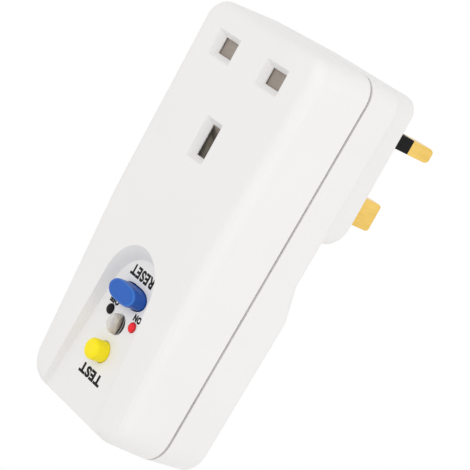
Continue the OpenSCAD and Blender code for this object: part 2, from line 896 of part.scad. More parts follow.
// Coil spring along z: one unbroken tube of six sides
function coil_ring(r, i, n, length) = [
    for (k = [0 : 5])
        let (a = 360 * i / 8, b = 60 * k, c = r + wire_r * cos(b))
            [c * cos(a), c * sin(a), wire_r + (length - 2 * wire_r) * i / n + wire_r * sin(b)]
];

module coil_spring(r, length, turns) {
    n = turns * 8;
    echo("gap between turns", (length - 2 * wire_r) / turns - 2 * wire_r);
    points = [for (i = [0 : n]) each coil_ring(r, i, n, length)];
    wall_faces = [
        for (i = [0 : n - 1], k = [0 : 5])
            let (a = 6 * i + k, b = 6 * i + (k + 1) % 6)
                each [[a, a + 6, b], [b, a + 6, b + 6]]
    ];
    ends = [for (k = [1 : 4]) each [[0, k, k + 1], [6 * n, 6 * n + k + 1, 6 * n + k]]];
    polyhedron(points, concat(wall_faces, ends));
}

module shutter_spring() color(steel) upright()
    translate([0, shutter_seat_y + slip, shutter_z - shutter_t / 2])
        rotate([-90, 0, 0])
            coil_spring(shutter_coil_r - wire_r, shutter_slot_y - shutter_seat_y - 2 * slip, 7);

module inlet_bar() {
    pin_x = [flat_x - bar_w / 2, flat_x + bar_w / 2];
    riser_x = [flat_x - bar_w / 2, flat_x + riser_w];
    switch_x = [contact_x - bar_w / 2, contact_x + bar_w / 2];
    through_top = through_z + through_w;
    block(pin_x, [-head_y, pin_bar_y], [pin_bar_z, pin_bar_z + bar_t]);
    block(pin_x, [pin_bar_y - bar_t, pin_bar_y], [pin_bar_z, step_z + bar_t]);
    block(pin_x, [pin_bar_y - bar_t, cross_y + bar_t], [step_z, step_z + bar_t]);
    block(riser_x, [cross_y, cross_y + bar_t], [step_z, through_top]);
    block([through_x, riser_x[1]], [cross_y, cross_y + bar_t], [through_z, through_top]);
    block([through_x, through_x + bar_t], [cross_y, drop_y + bar_t], [through_z, through_top]);
    block([through_x, switch_x[1]], [drop_y, drop_y + bar_t], [through_z, through_z + through_w / 2]);
    block(switch_x, [drop_y, drop_y + bar_t], [base_z, through_z + through_w / 2]);
    block(switch_x, [drop_y, reset_y - tip_span / 2 + tip_r + run], [base_z, base_z + bar_t]);
    translate([contact_x, reset_y - tip_span / 2, base_z + bar_t])
        cylinder(r = tip_r, h = tip_t);
}

module line_inlet_bar() color(brass) upright() inlet_bar();
module neutral_inlet_bar() color(brass) upright() mirror([1, 0, 0]) inlet_bar();

module outlet_bar() {
    far_y = reset_y + tip_span / 2;
    block([outlet_x, outlet_x + outlet_w], [-head_y, outlet_drop_y + bar_t], [outlet_z, carrier_back_z]);
    block([flat_x - stem_x, outlet_x + bite], [-stem_x, stem_x], [outlet_z, carrier_back_z + run]);
    block([outlet_x, side_bar_x + bar_t], [outlet_drop_y, outlet_drop_y + bar_t], [base_z, carrier_back_z]);
    block([side_bar_x, side_bar_x + bar_t], [outlet_drop_y, far_y + tip_r], [base_z, base_z + side_bar_h]);
    block([contact_x - tip_r, side_bar_x + bar_t], [far_y - tip_r, far_y + tip_r], [base_z, base_z + bar_t]);
    translate([contact_x, far_y, base_z + bar_t])
        cylinder(r = tip_r, h = tip_t);
}

module line_outlet_bar() color(brass) upright() outlet_bar();
module neutral_outlet_bar() color(brass) upright() mirror([1, 0, 0]) outlet_bar();

module ring(r_in, r_out, y0, y1)
    translate([0, y0, toroid_z])
        rotate([-90, 0, 0])
            difference() {
                cylinder(r = r_out, h = y1 - y0);
                translate([0, 0, -over])
                    cylinder(r = r_in, h = y1 - y0 + 2 * over);
            }

module toroid_core() color(steel) upright()
    ring(toroid_bore, toroid_r - winding_t, toroid_y + winding_t, toroid_y + toroid_l - winding_t);

module toroid_winding() color(copper) upright()
    difference() {
        ring(toroid_bore - winding_t, toroid_r, toroid_y, toroid_y + toroid_l);
        ring(toroid_bore, toroid_r - winding_t, toroid_y + winding_t, toroid_y + toroid_l - winding_t);
    }

module mechanism_frame() color(ivory) upright()
    difference() {
        union() {
            block([-frame_x, frame_x], [frame_y0, frame_y1], [frame_z, base_z]);
            both_sides() {
                block([frame_x - frame_wall, frame_x], [frame_y0, frame_side_y],
                      [base_z - bite, bridge_top_z]);
                translate([spring_x, reset_y, base_z - bite])
                    cylinder(r = carriage_pin_r, h = bar_z - reset_travel - base_z);
            }
            block([-frame_x, frame_x], [bridge_y0, bridge_y1], [bridge_z, bridge_top_z]);
        }
        block([-stem_x - run, stem_x + run], [reset_y - stem_y - run, reset_y + stem_y + run],
              [bridge_z - over, bridge_top_z + over]);
        both_sides()
            block([window_x0, window_x1], [window_y0, window_y1], [frame_z - over, base_z + over]);
    }

module contact_carriage() color(ivory) upright() {
    block([-carriage_x, carriage_x], [carriage_y0, carriage_y1], [bar_z, bar_z + carriage_t]);
    block([-carriage_boss_x, carriage_boss_x], [reset_y - carriage_boss_y, reset_y + carriage_boss_y],
          [bar_z, carriage_top_z]);
    both_sides()
        block([contact_x - holder_x, contact_x + holder_x], [reset_y - holder_y, reset_y + holder_y],
              [strip_z + bar_t, bar_z + bite]);
    block([cam_x - cam_arm_x, cam_x + cam_arm_x], [carriage_y1 - cam_arm_t, carriage_y1],
          [bar_z, cam_z + cam_pin_r]);
    translate([cam_x, carriage_y1 - bite, cam_z])
        rotate([-90, 0, 0])
            cylinder(r = cam_pin_r, h = bite + run + web_t + run);
}

module moving_contact() {
    far = tip_span / 2 + tip_r;
    block([contact_x - bar_w / 2, contact_x + bar_w / 2], [reset_y - far, reset_y + far],
          [strip_z, strip_z + bar_t]);
    for (s = [-1, 1])
        translate([contact_x, reset_y + s * tip_span / 2, moving_tip_z])
            cylinder(r = tip_r, h = tip_t + bar_t / 2);
}

module line_moving_contact() color(brass) upright() moving_contact();
module neutral_moving_contact() color(brass) upright() mirror([1, 0, 0]) moving_contact();

module armature() color(steel) upright()
    block([-armature_x, armature_x], [reset_y - armature_y, reset_y + armature_y],
          [bar_z - armature_t, bar_z]);

module carriage_springs() color(steel) upright()
    both_sides()
        translate([spring_x, reset_y, base_z + slip])
            coil_spring(carriage_coil_r, bar_z - base_z - 2 * slip, 6);

// Yoke: core, two limbs, return bar, and a pole under each end of the armature
module magnet_yoke() color(steel) upright()
    across(-yoke_x, yoke_x) {
        far_limb = coil_y1 + limb_t;
        shoe_z = pole_z - shoe_t;
        shoe_y = reset_y + armature_y - 3;
        foot_z = base_z + yoke_bar_t;
        near_pole = reset_y - armature_y;
        polygon([
            [near_pole, base_z], [far_limb, base_z], [far_limb, core_z + core_t], [limb_y, core_z + core_t],
            [limb_y, pole_z], [shoe_y, pole_z], [shoe_y, shoe_z], [coil_y0, shoe_z],
            [coil_y0, core_z], [coil_y1, core_z], [coil_y1, foot_z], [near_pole + pole_t, foot_z],
            [near_pole + pole_t, pole_z], [near_pole, pole_z]
        ]);
    }

module along_core(y0, y1)
    translate([0, y0, core_c_z])
        rotate([-90, 0, 0])
            linear_extrude(y1 - y0)
                children();

module core_hole()
    square([2 * yoke_x + 2 * slip, core_t + 2 * slip], center = true);

module magnet_bobbin() color(black) upright() {
    ends = [
        [coil_y0 + slip, coil_y0 + slip + bobbin_end_t],
        [coil_y1 - slip - bobbin_end_t, coil_y1 - slip]
    ];
    for (e = ends)
        along_core(e[0], e[1])
            difference() {
                circle(bobbin_r);
                core_hole();
            }
    along_core(ends[0][1] - slip, ends[1][0] + slip)
        difference() {
            circle(bobbin_tube_r);
            core_hole();
        }
}

module magnet_coil() color(copper) upright()
    along_core(coil_y0 + slip + bobbin_end_t, coil_y1 - slip - bobbin_end_t)
        difference() {
            circle(coil_r);
            circle(bobbin_tube_r);
        }

module circuit_board() color([0.16, 0.36, 0.2]) upright()
    block([-board_x, board_x], [board_y0, board_y1], [board_z, frame_z]);

module control_chip() color(black) upright() {
    block([chip_x, chip_x + chip_w], [chip_y, chip_y + chip_l], [frame_z + bite, frame_z + bite + chip_h]);
    for (x = [chip_x - chip_lead, chip_x + chip_w], i = [0 : 3])
        translate([x, chip_y + chip_lead + i * chip_pitch, frame_z])
            cube([chip_lead, chip_lead, chip_h / 2 + bite]);
}

module varistor() color([0.12, 0.3, 0.62]) upright() {
    disc_z = frame_z + varistor_r + 2 * bite;
    translate([varistor_x, varistor_y, disc_z])
        rotate([90, 0, 0])
            cylinder(r = varistor_r, h = varistor_t);
    for (x = [varistor_x - varistor_lead_x, varistor_x + varistor_lead_x])
        translate([x, varistor_y - varistor_t / 2, frame_z])
            cylinder(r = varistor_lead_r, h = varistor_r);
}

module capacitor() color([0.2, 0.2, 0.24]) upright()
    translate([capacitor_x, capacitor_y, frame_z])
        cylinder(r = capacitor_r, h = capacitor_h);

module test_resistor() color([0.75, 0.62, 0.42]) upright()
    translate([resistor_x, resistor_y, frame_z]) {
        cylinder(r = resistor_r, h = resistor_l);
        cylinder(r = resistor_lead_r, h = resistor_l + resistor_lead_l);
    }

module rectifier_diodes() color(black) upright()
    for (x = [-diode_x1, -diode_x0, diode_x0, diode_x1])
        translate([x - diode_w / 2, board_post_y0 - diode_l / 2, board_z - diode_t])
            cube([diode_w, diode_l, diode_t]);

module reset_button() color([0.2, 0.4, 0.73]) upright() {
    cap_r = reset_w / 2;
    flange_x = reset_l / 2 + reset_flange_x;
    translate([0, reset_y, 0]) {
        oval(cap_r)
            rounded(cap_r, flange_z - bite, front_z + reset_proud, reset_edge);
        block([-flange_x, flange_x], [-cap_r - reset_flange_y, cap_r + reset_flange_y],
              [flange_z - flange_t, flange_z]);
        block([-stem_x, stem_x], [-stem_y, stem_y], [stem_end_z, flange_z]);
    }
}

module reset_spring() color(steel) upright()
    translate([0, reset_y, bridge_top_z + slip])
        coil_spring(reset_coil_r, flange_z - flange_t - bridge_top_z - 2 * slip, 3);

module test_button() color([0.98, 0.86, 0.1]) upright()
    translate([0, test_y, 0]) {
        rounded(test_r, flange_z - bite, front_z - test_sunk, test_edge);
        block([-test_flange_x, test_flange_x], [-test_flange_y, test_flange_y],
              [flange_z - flange_t, flange_z]);
        translate([0, 0, test_stem_z])
            cylinder(r = test_stem_r, h = flange_z - test_stem_z);
    }

module test_leaf() color(brass) upright()
    block([test_anchor_x, test_post_x + test_post_w + leaf_t], [test_y - leaf_half, test_y + leaf_half],
          [leaf_z, leaf_z + leaf_t]);

module test_terminal() color(brass) upright()
    block([test_anchor_x, test_anchor_x + test_anchor_w], [test_y - test_post_half, test_y + test_post_half],
          [frame_z, leaf_z]);

module test_contact() color(brass) upright()
    block([test_post_x, test_post_x + test_post_w], [test_y - test_post_half, test_y + test_post_half],
          [frame_z, leaf_z - test_travel - slip]);

module indicator_lens() color([0.83, 0.8, 0.73, 0.6]) upright()
    translate([0, lens_y, 0]) {
        translate([0, 0, flange_z - lens_flange_t])
            cylinder(r = lens_flange_r, h = lens_flange_t);
        intersection() {
            translate([0, 0, flange_z - bite])
                cylinder(r = lens_r, h = floor_z + lens_dome - flange_z + bite);
            translate([0, 0, floor_z + lens_dome - dome_r])
                sphere(r = dome_r);
        }
    }

module indicator_flag() color([0.75, 0.12, 0.12]) upright()
    difference() {
        union() {
            web = cam_pin_r + web_rim;
            block([-flag_half - flag_travel, flag_half], [cam_y, guide_y - run], [flag_z - flag_t, flag_z]);
            block([cam_x - flag_travel - web, cam_x + web], [cam_y, cam_y + web_t],
                  [cam_z - reset_travel - web, flag_z]);
        }
        hull()
            for (t = [0, 1])
                translate([cam_x - t * flag_travel, cam_y - over, cam_z - t * reset_travel])
                    rotate([-90, 0, 0])
                        cylinder(r = cam_pin_r + run / 2, h = web_t + 2 * over, $fn = hull_fn);
    }

front_cover();
rear_cover();
cover_screws();
line_pin();
neutral_pin();
earth_pin();
line_pin_sleeve();
neutral_pin_sleeve();
pin_retainer();
contact_carrier();
line_socket_contact();
neutral_socket_contact();
earth_socket_contact();
shutter();
shutter_spring();
line_inlet_bar();
neutral_inlet_bar();
line_outlet_bar();
neutral_outlet_bar();
toroid_core();
toroid_winding();
mechanism_frame();
contact_carriage();
line_moving_contact();
neutral_moving_contact();
armature();
carriage_springs();
magnet_yoke();
magnet_bobbin();
magnet_coil();
circuit_board();
control_chip();
varistor();
capacitor();
test_resistor();
rectifier_diodes();
reset_button();
reset_spring();
test_button();
test_leaf();
test_terminal();
test_contact();
indicator_lens();
indicator_flag();
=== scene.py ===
from math import cos, pi, radians, sin

import bmesh
import bpy
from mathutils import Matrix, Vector


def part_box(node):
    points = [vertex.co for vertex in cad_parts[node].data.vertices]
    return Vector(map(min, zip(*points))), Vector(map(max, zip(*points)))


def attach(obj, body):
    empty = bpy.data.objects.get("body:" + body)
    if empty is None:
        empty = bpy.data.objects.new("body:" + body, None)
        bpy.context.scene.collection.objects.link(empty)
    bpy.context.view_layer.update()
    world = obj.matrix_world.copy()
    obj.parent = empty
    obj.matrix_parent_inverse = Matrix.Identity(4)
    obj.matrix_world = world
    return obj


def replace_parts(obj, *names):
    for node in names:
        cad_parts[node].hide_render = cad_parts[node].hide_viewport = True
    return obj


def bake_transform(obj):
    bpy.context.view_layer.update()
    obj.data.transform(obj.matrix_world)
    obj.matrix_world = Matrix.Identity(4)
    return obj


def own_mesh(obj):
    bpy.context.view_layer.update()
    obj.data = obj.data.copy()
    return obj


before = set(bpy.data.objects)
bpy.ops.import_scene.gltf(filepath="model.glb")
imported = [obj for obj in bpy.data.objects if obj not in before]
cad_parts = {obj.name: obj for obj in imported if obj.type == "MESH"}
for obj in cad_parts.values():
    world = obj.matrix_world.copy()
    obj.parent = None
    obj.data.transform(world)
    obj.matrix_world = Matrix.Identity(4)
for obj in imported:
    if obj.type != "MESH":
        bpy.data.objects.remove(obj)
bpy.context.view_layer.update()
MM = 0.001


# Rear cover: half of the housing, moulded in white thermoplastic with the pin boss in one piece.
# Its mould leaves soft edges and a satin skin, and four screws from behind hold it to the front.
WHITE = (0.86, 0.85, 0.845, 1)
WHITE_WARM = (0.84, 0.825, 0.81, 1)
SEAM_SHADE = (0.3, 0.27, 0.24, 1)
SEAM_Y = -21.8 * MM
SEAM_FADE = 0.5 * MM
CLOUD = 55
PEBBLE = 1500
PEBBLE_H = 3e-6
SOLID_WELD = 2e-6
FLAT_ANGLE = radians(0.6)
EDGE_ANGLE = radians(32)
EDGE_STEPS = 3


class Tone:
    """A shader socket that takes part in sums: each sum adds its Math node to the tree."""

    def __init__(self, tree, socket=None):
        self.tree = tree
        self.socket = socket

    def node(self, kind, settings=None, sockets=None, out=0):
        made = self.tree.nodes.new(kind)
        for name, value in (settings or {}).items():
            if name == "stops":
                while len(made.color_ramp.elements) < len(value):
                    made.color_ramp.elements.new(1)
                for element, (position, colour) in zip(made.color_ramp.elements, value):
                    element.position = position
                    element.color = colour
            else:
                setattr(made, name, value)
        for name, value in (sockets or {}).items():
            if isinstance(value, Tone):
                self.tree.links.new(value.socket, made.inputs[name])
            else:
                made.inputs[name].default_value = value
        return Tone(self.tree, made.outputs[out] if made.outputs else None)

    def maths(self, operation, first, second):
        return self.node("ShaderNodeMath", {"operation": operation}, {0: first, 1: second})

    def __add__(self, other):
        return self.maths("ADD", self, other)

    __radd__ = __add__

    def __mul__(self, other):
        return self.maths("MULTIPLY", self, other)

    __rmul__ = __mul__

    def __sub__(self, other):
        return self.maths("SUBTRACT", self, other)

    def __rsub__(self, other):
        return self.maths("SUBTRACT", other, self)


def new_finish(name):
    material = bpy.data.materials.new(name)
    material.use_nodes = True
    material.node_tree.nodes.clear()
    return material, Tone(material.node_tree)


def place_along(tones, axis):
    """The piece's own coordinate along one axis, in metres."""
    place = tones.node("ShaderNodeTexCoord", out="Object")
    return tones.node("ShaderNodeSeparateXYZ", {}, {0: place}, out=axis)


def grain(tones, scale, stretch=(1, 1, 1), detail=2):
    place = tones.node("ShaderNodeTexCoord", out="Object")
    pulled = tones.node("ShaderNodeMapping", {}, {"Vector": place, "Scale": stretch})
    return tones.node("ShaderNodeTexNoise", {}, {"Vector": pulled, "Scale": scale, "Detail": detail})


def skin(tones, mask, stops, rough, height, depth, **fixed):
    """A finish coloured by a mask and embossed by a height. It returns the colour ramp."""
    colour = tones.node("ShaderNodeValToRGB", {"stops": stops}, {"Fac": mask})
    bumps = tones.node("ShaderNodeBump", {}, {"Strength": 1.0, "Distance": depth, "Height": height})
    sockets = {"Base Color": colour, "Roughness": rough, "Normal": bumps}
    sockets.update({name.replace("_", " "): value for name, value in fixed.items()})
    shader = tones.node("ShaderNodeBsdfPrincipled", {}, sockets)
    tones.node("ShaderNodeOutputMaterial", {}, {"Surface": shader})
    return colour.socket.node.color_ramp


def moulded(name, colour, dim, rough, pebble=PEBBLE, depth=PEBBLE_H, shine=0.5):
    material, tones = new_finish(name)
    cloud = grain(tones, CLOUD, detail=3)
    fine = grain(tones, pebble)
    skin(
        tones,
        cloud * 0.7 + fine * 0.3,
        [(0.35, dim), (0.62, colour)],
        rough + 0.1 * cloud + 0.06 * fine,
        fine,
        depth,
        Specular_IOR_Level=shine,
    )
    return material


def linked(name, data):
    piece = bpy.data.objects.new(name, data)
    bpy.context.scene.collection.objects.link(piece)
    return piece


def built(shape, name):
    """The object of a finished mesh under construction."""
    mesh = bpy.data.meshes.new(name)
    shape.to_mesh(mesh)
    shape.free()
    return linked(name, mesh)


def softened(node, name, radius):
    """A copy of a solid with its moulded or tumbled edges rounded off."""
    shape = bmesh.new()
    shape.from_mesh(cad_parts[node].data)
    bmesh.ops.remove_doubles(shape, verts=shape.verts, dist=SOLID_WELD)
    bmesh.ops.dissolve_limit(shape, angle_limit=FLAT_ANGLE, verts=shape.verts, edges=shape.edges)
    piece = built(shape, name)
    if "custom_normal" in piece.data.attributes:
        piece.data.attributes.remove(piece.data.attributes["custom_normal"])
    piece.data.shade_smooth()
    edge = piece.modifiers.new("edge", "BEVEL")
    edge.width = radius
    edge.segments = EDGE_STEPS
    edge.limit_method = "ANGLE"
    edge.angle_limit = EDGE_ANGLE
    edge.harden_normals = True
    level = piece.modifiers.new("level", "WEIGHTED_NORMAL")
    level.keep_sharp = True
    level.weight = 100
    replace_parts(piece, node)
    return piece


def finished(piece, material, body="housing"):
    piece.data.materials.clear()
    piece.data.materials.append(material)
    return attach(piece, body)


def coated(material, *nodes):
    for node in nodes:
        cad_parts[node].data.materials.clear()
        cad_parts[node].data.materials.append(material)


white_plastic, tones = new_finish("white_plastic")
# Along the parting line the white is darkened towards a dark brown: painted shade in the groove between the
# covers.
seam = place_along(tones, "Y") - SEAM_Y
seam = seam.maths("SMOOTH_MIN", seam.maths("ABSOLUTE", seam, 0) * (1 / SEAM_FADE), 1)
cloud = grain(tones, CLOUD, detail=3)
fine = grain(tones, PEBBLE)
skin(
    tones,
    (0.35 + 0.35 * cloud + 0.15 * fine) * seam,
    [(0.1, SEAM_SHADE), (0.45, WHITE_WARM), (0.7, WHITE)],
    0.3 + 0.1 * cloud + 0.06 * fine,
    fine,
    PEBBLE_H,
    Specular_IOR_Level=0.3,
)
finished(softened("rear_cover", "rear_shell", 0.25 * MM), white_plastic)


# Pins: drawn brass, two flat and one longer earth pin, with tips rounded in a press.
# The flat ones carry black insulating sleeves moulded over their roots.
BRASS = (0.9, 0.62, 0.17, 1)
BRASS_DULL = (0.78, 0.5, 0.12, 1)
BLACK = (0.004, 0.0045, 0.004, 1)
BLACK_PALE = (0.007, 0.0075, 0.007, 1)
DRAWN_IN_Y = (1, 0.04, 1)
STREAK = 1800
STREAK_H = 2e-6
STAIN = 160


def drawn_metal(name, bright, dull, rough, stretch=(1, 1, 1)):
    material, tones = new_finish(name)
    streaks = grain(tones, STREAK, stretch, 3)
    stain = grain(tones, STAIN, detail=4)
    skin(
        tones,
        streaks * 0.45 + stain * 0.55,
        [(0.3, dull), (0.62, bright)],
        rough + 0.12 * stain + 0.1 * streaks,
        streaks,
        STREAK_H,
        Metallic=1.0,
    )
    return material


pin_brass = drawn_metal("pin_brass", BRASS, BRASS_DULL, 0.16, DRAWN_IN_Y)
for pin in ("line_pin", "neutral_pin", "earth_pin"):
    finished(softened(pin, pin + "_bar", 0.35 * MM), pin_brass)
sleeve_black = moulded("sleeve_black", BLACK_PALE, BLACK, 0.42, shine=0.12)
for sleeve in ("line_pin_sleeve", "neutral_pin_sleeve"):
    finished(softened(sleeve, sleeve + "_skin", 0.12 * MM), sleeve_black)


# Inner mouldings: the plate that traps the pins, the block with the socket chambers, the switch's
# frame and carriage, and the bobbin. They are uncoloured nylon, ivory and a little waxy.
IVORY = (0.7, 0.66, 0.57, 1)
IVORY_DEEP = (0.62, 0.57, 0.47, 1)
ivory_nylon = moulded("ivory_nylon", IVORY, IVORY_DEEP, 0.42, pebble=900)
coated(
    ivory_nylon,
    "pin_retainer",
    "contact_carrier",
    "mechanism_frame",
    "contact_carriage",
    "magnet_bobbin",
)


# Contacts and bars: blanked from brass strip and folded, rolled along their length.
# The moving contacts and the test circuit are cut from the same strip.
STRIP = (0.78, 0.54, 0.2, 1)
STRIP_DULL = (0.6, 0.39, 0.13, 1)
ROLLED_IN_Z = (1, 1, 0.05)
strip_brass = drawn_metal("strip_brass", STRIP, STRIP_DULL, 0.24, ROLLED_IN_Z)
coated(
    strip_brass,
    "line_socket_contact",
    "neutral_socket_contact",
    "earth_socket_contact",
    "line_inlet_bar",
    "neutral_inlet_bar",
    "line_outlet_bar",
    "neutral_outlet_bar",
    "line_moving_contact",
    "neutral_moving_contact",
    "test_terminal",
    "test_contact",
)


# Test leaf: a flat brass spring, riveted to its post at one end, with the test button over its middle.
# It bends as the button goes in, until its tip nears the second post.
LEAF_CUTS = 24
low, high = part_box("test_leaf")
shape = bmesh.new()
shape.from_mesh(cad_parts["test_leaf"].data)
for cut in range(1, LEAF_CUTS):
    bmesh.ops.bisect_plane(
        shape,
        geom=shape.verts[:] + shape.edges[:] + shape.faces[:],
        plane_co=(low.x + (high.x - low.x) * cut / LEAF_CUTS, 0, 0),
        plane_no=(1, 0, 0),
    )
leaf = built(shape, "bending_leaf")
leaf.data.materials.append(strip_brass)
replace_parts(leaf, "test_leaf")
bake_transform(leaf)


# Shutter: a warm grey slide behind the apertures, moulded in one piece with its wedges.
# An earth pin pushes it down against the small spring in its slot.
GREY = (0.36, 0.31, 0.27, 1)
GREY_DEEP = (0.3, 0.255, 0.22, 1)
shutter_grey = moulded("shutter_grey", GREY, GREY_DEEP, 0.4, pebble=1100)
coated(shutter_grey, "shutter")


# Springs: hard-drawn steel wire, coiled open with a closed turn at each end.
# One pushes the shutter up, two push the carriage off, and one lifts the reset button.
STEEL = (0.6, 0.61, 0.63, 1)
STEEL_DULL = (0.42, 0.43, 0.46, 1)
END_RISE = 0.55 * MM
COIL_STEPS = 20
spring_steel = drawn_metal("spring_steel", STEEL, STEEL_DULL, 0.22)


def as_mesh(outline, name):
    """The mesh of a curve or of type, as an object of its own."""
    bpy.context.scene.collection.objects.link(outline)
    bpy.context.view_layer.update()
    mesh = bpy.data.meshes.new_from_object(outline.evaluated_get(bpy.context.evaluated_depsgraph_get()))
    bpy.data.objects.remove(outline)
    mesh.name = name
    return linked(name, mesh)


def wire(name, lines, thickness, material):
    curve = bpy.data.curves.new(name, "CURVE")
    curve.dimensions = "3D"
    curve.bevel_depth = thickness / 2
    curve.bevel_resolution = 2
    curve.use_fill_caps = True
    for points in lines:
        spline = curve.splines.new("POLY")
        spline.points.add(len(points) - 1)
        for point, place in zip(spline.points, points):
            point.co = (*place, 1)
        spline.use_smooth = True
    return finished(as_mesh(bpy.data.objects.new(name + "_path", curve), name), material)


def coil_line(centre, low, high, radius, turns, along):
    """Points of a spring: a flat closed turn at each end, and even turns between."""
    steps = COIL_STEPS * (turns + 2)
    points = []
    for i in range(steps + 1):
        turn = (turns + 2) * i / steps
        rise = min(max((turn - 1) / turns, 0), 1)
        angle = 2 * pi * turn
        end = END_RISE * (turn - 1 if turn < 1 else max(turn - turns - 1, 0))
        height = low + END_RISE + (high - low - 2 * END_RISE) * rise + end
        a, b = centre[0] + radius * cos(angle), centre[1] + radius * sin(angle)
        points.append((a, b, height) if along == "Z" else (a, height, b))
    return points


def spring(node, name, turns, thickness, along, sides=(0,)):
    """A spring in place of its solid."""
    low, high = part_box(node)
    axis, side = ("XYZ".index(along), 2 if along == "Y" else 1)
    radius = (high[side] - low[side] - thickness) / 2
    middle = (low[side] + high[side]) / 2
    offset = (high[0] - low[0]) / 2 - radius - thickness / 2
    inner = thickness / 2
    lines = [
        coil_line(
            ((low[0] + high[0]) / 2 + offset * k, middle),
            low[axis] + inner,
            high[axis] - inner,
            radius,
            turns,
            along,
        )
        for k in sides
    ]
    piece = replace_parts(wire(name, lines, thickness, spring_steel), node)
    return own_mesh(piece)


spring("shutter_spring", "shutter_coil", 6, 0.3 * MM, "Z")
spring("carriage_springs", "carriage_coils", 5, 0.45 * MM, "Y", (-1, 1))
spring("reset_spring", "reset_coil", 2, 0.55 * MM, "Y")


# Transformer: a ring core of magnetic iron with a sensing winding of enamelled copper wire.
# The two inlet bars pass through its bore.
IRON = (0.36, 0.36, 0.38, 1)
IRON_DULL = (0.25, 0.25, 0.27, 1)
COPPER = (0.62, 0.24, 0.085, 1)
COPPER_DULL = (0.46, 0.15, 0.05, 1)
WINDING_BORE = 4.5 * MM
LOOP_STEPS = 16
LOOP_ROUND = 0.25
iron = drawn_metal("iron", IRON, IRON_DULL, 0.36, (1, 1, 0.2))
coated(iron, "toroid_core", "armature", "magnet_yoke")
copper_wire = drawn_metal("copper_wire", COPPER, COPPER_DULL, 0.18)


def ring_winding(node, name, turns, thickness):
    """One wire wound round a ring core, in loops that are square with rounded corners."""
    low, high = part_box(node)
    gap = (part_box("toroid_core")[0].z - low.z) / 2
    centre_x, centre_y = (low.x + high.x) / 2, (low.y + high.y) / 2
    outer = (high.x - low.x) / 2 - gap
    mid_r, half_r = (outer + WINDING_BORE) / 2, (outer - WINDING_BORE) / 2
    mid_z, half_z = (low.z + high.z) / 2, (high.z - low.z) / 2 - gap
    points = []
    for i in range(turns * LOOP_STEPS + 1):
        loop = 2 * pi * i / LOOP_STEPS
        about = 2 * pi * i / (turns * LOOP_STEPS)
        square = max(abs(cos(loop)), abs(sin(loop)))
        bulge = LOOP_ROUND + (1 - LOOP_ROUND) / square
        r = mid_r + half_r * min(max(cos(loop) * bulge, -1), 1)
        z = mid_z + half_z * min(max(sin(loop) * bulge, -1), 1)
        points.append((centre_x + r * cos(about), centre_y + r * sin(about), z))
    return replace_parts(wire(name, [points], thickness, copper_wire), node)


ring_winding("toroid_winding", "sensing_winding", 46, 0.56 * MM)


# Magnet: an iron yoke whose bobbin is wound with many turns of fine enamelled wire.
# While the coil has current it holds the armature, and the switch stays closed.
LAYERS = 3
LAYER_NEST = 0.87
TURN_STEPS = 24


def bobbin_winding(node, name, thickness):
    """Layers of close turns, each nested in the grooves of the one below."""
    low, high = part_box(node)
    centre_x, centre_y = (low.x + high.x) / 2, (low.y + high.y) / 2
    length = high.z - low.z - thickness
    steps = int(length / thickness) * TURN_STEPS
    layers = []
    for layer in range(LAYERS):
        radius = (high.x - low.x) / 2 - thickness * (0.5 + LAYER_NEST * layer)
        points = []
        for i in range(steps + 1):
            angle = 2 * pi * i / TURN_STEPS
            z = low.z + thickness / 2 + length * i / steps
            points.append((centre_x + radius * cos(angle), centre_y + radius * sin(angle), z))
        layers.append(points)
    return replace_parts(wire(name, layers, thickness, copper_wire), node)


bobbin_winding("magnet_coil", "magnet_winding", 0.4 * MM)


# Circuit board: green fibreglass laminate with copper tracks under the lacquer.
# It lies on posts in the rear cover and carries the detector's components.
GREEN = (0.05, 0.2, 0.07, 1)
GREEN_DEEP = (0.014, 0.1, 0.032, 1)
TRACK_H = 1.5e-5
EPOXY = (0.03, 0.03, 0.032, 1)
EPOXY_DEEP = (0.02, 0.02, 0.022, 1)
DIP_BLUE = (0.02, 0.1, 0.38, 1)
DIP_BLUE_DEEP = (0.015, 0.07, 0.28, 1)
DIP_H = 2e-5
board_green, tones = new_finish("board_green")
place = tones.node("ShaderNodeTexCoord", out="Object")
facing = tones.node("ShaderNodeMapping", {}, {"Vector": place, "Rotation": (radians(90), 0, 0)})
tracks = tones.node(
    "ShaderNodeTexBrick",
    {"offset": 0.35, "squash": 1.0},
    {"Vector": facing, "Scale": 260, "Mortar Size": 0.06, "Mortar Smooth": 0.1},
    out="Fac",
)
weave = grain(tones, 1400)
skin(
    tones,
    tracks * 0.7 + weave * 0.3,
    [(0.1, GREEN_DEEP), (0.6, GREEN)],
    0.32 + 0.12 * weave,
    tracks,
    TRACK_H,
)
coated(board_green, "circuit_board")
epoxy_black = moulded("epoxy_black", EPOXY, EPOXY_DEEP, 0.45, pebble=2400)
coated(epoxy_black, "control_chip", "rectifier_diodes", "capacitor")
dipped_blue = moulded("dipped_blue", DIP_BLUE, DIP_BLUE_DEEP, 0.25, pebble=500, depth=DIP_H)
coated(dipped_blue, "varistor")


# Test resistor: a tan lacquered body with painted value rings, soldered between two leads.
# It lets the test button pass a small leakage current round the transformer.
TAN = (0.5, 0.32, 0.14, 1)
BAND_RED = (0.4, 0.02, 0.02, 1)
BAND_BROWN = (0.09, 0.03, 0.012, 1)
BAND_GOLD = (0.5, 0.3, 0.04, 1)
BAND_W = 0.06
LACQUER_H = 4e-6
low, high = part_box("test_resistor")
along = 0 if high.x - low.x > high.z - low.z else 2
resistor_tan, tones = new_finish("resistor_tan")
bands = [(0, TAN)]
for start, paint in ((0.28, BAND_RED), (0.4, BAND_BROWN), (0.52, BAND_RED), (0.68, BAND_GOLD)):
    bands += [(start, paint), (start + BAND_W, TAN)]
lacquer = grain(tones, 900)
rings = skin(
    tones,
    (place_along(tones, along) - low[along]) * (1 / (high[along] - low[along])),
    bands,
    0.28 + 0.12 * lacquer,
    lacquer,
    LACQUER_H,
)
rings.interpolation = "CONSTANT"
coated(resistor_tan, "test_resistor")
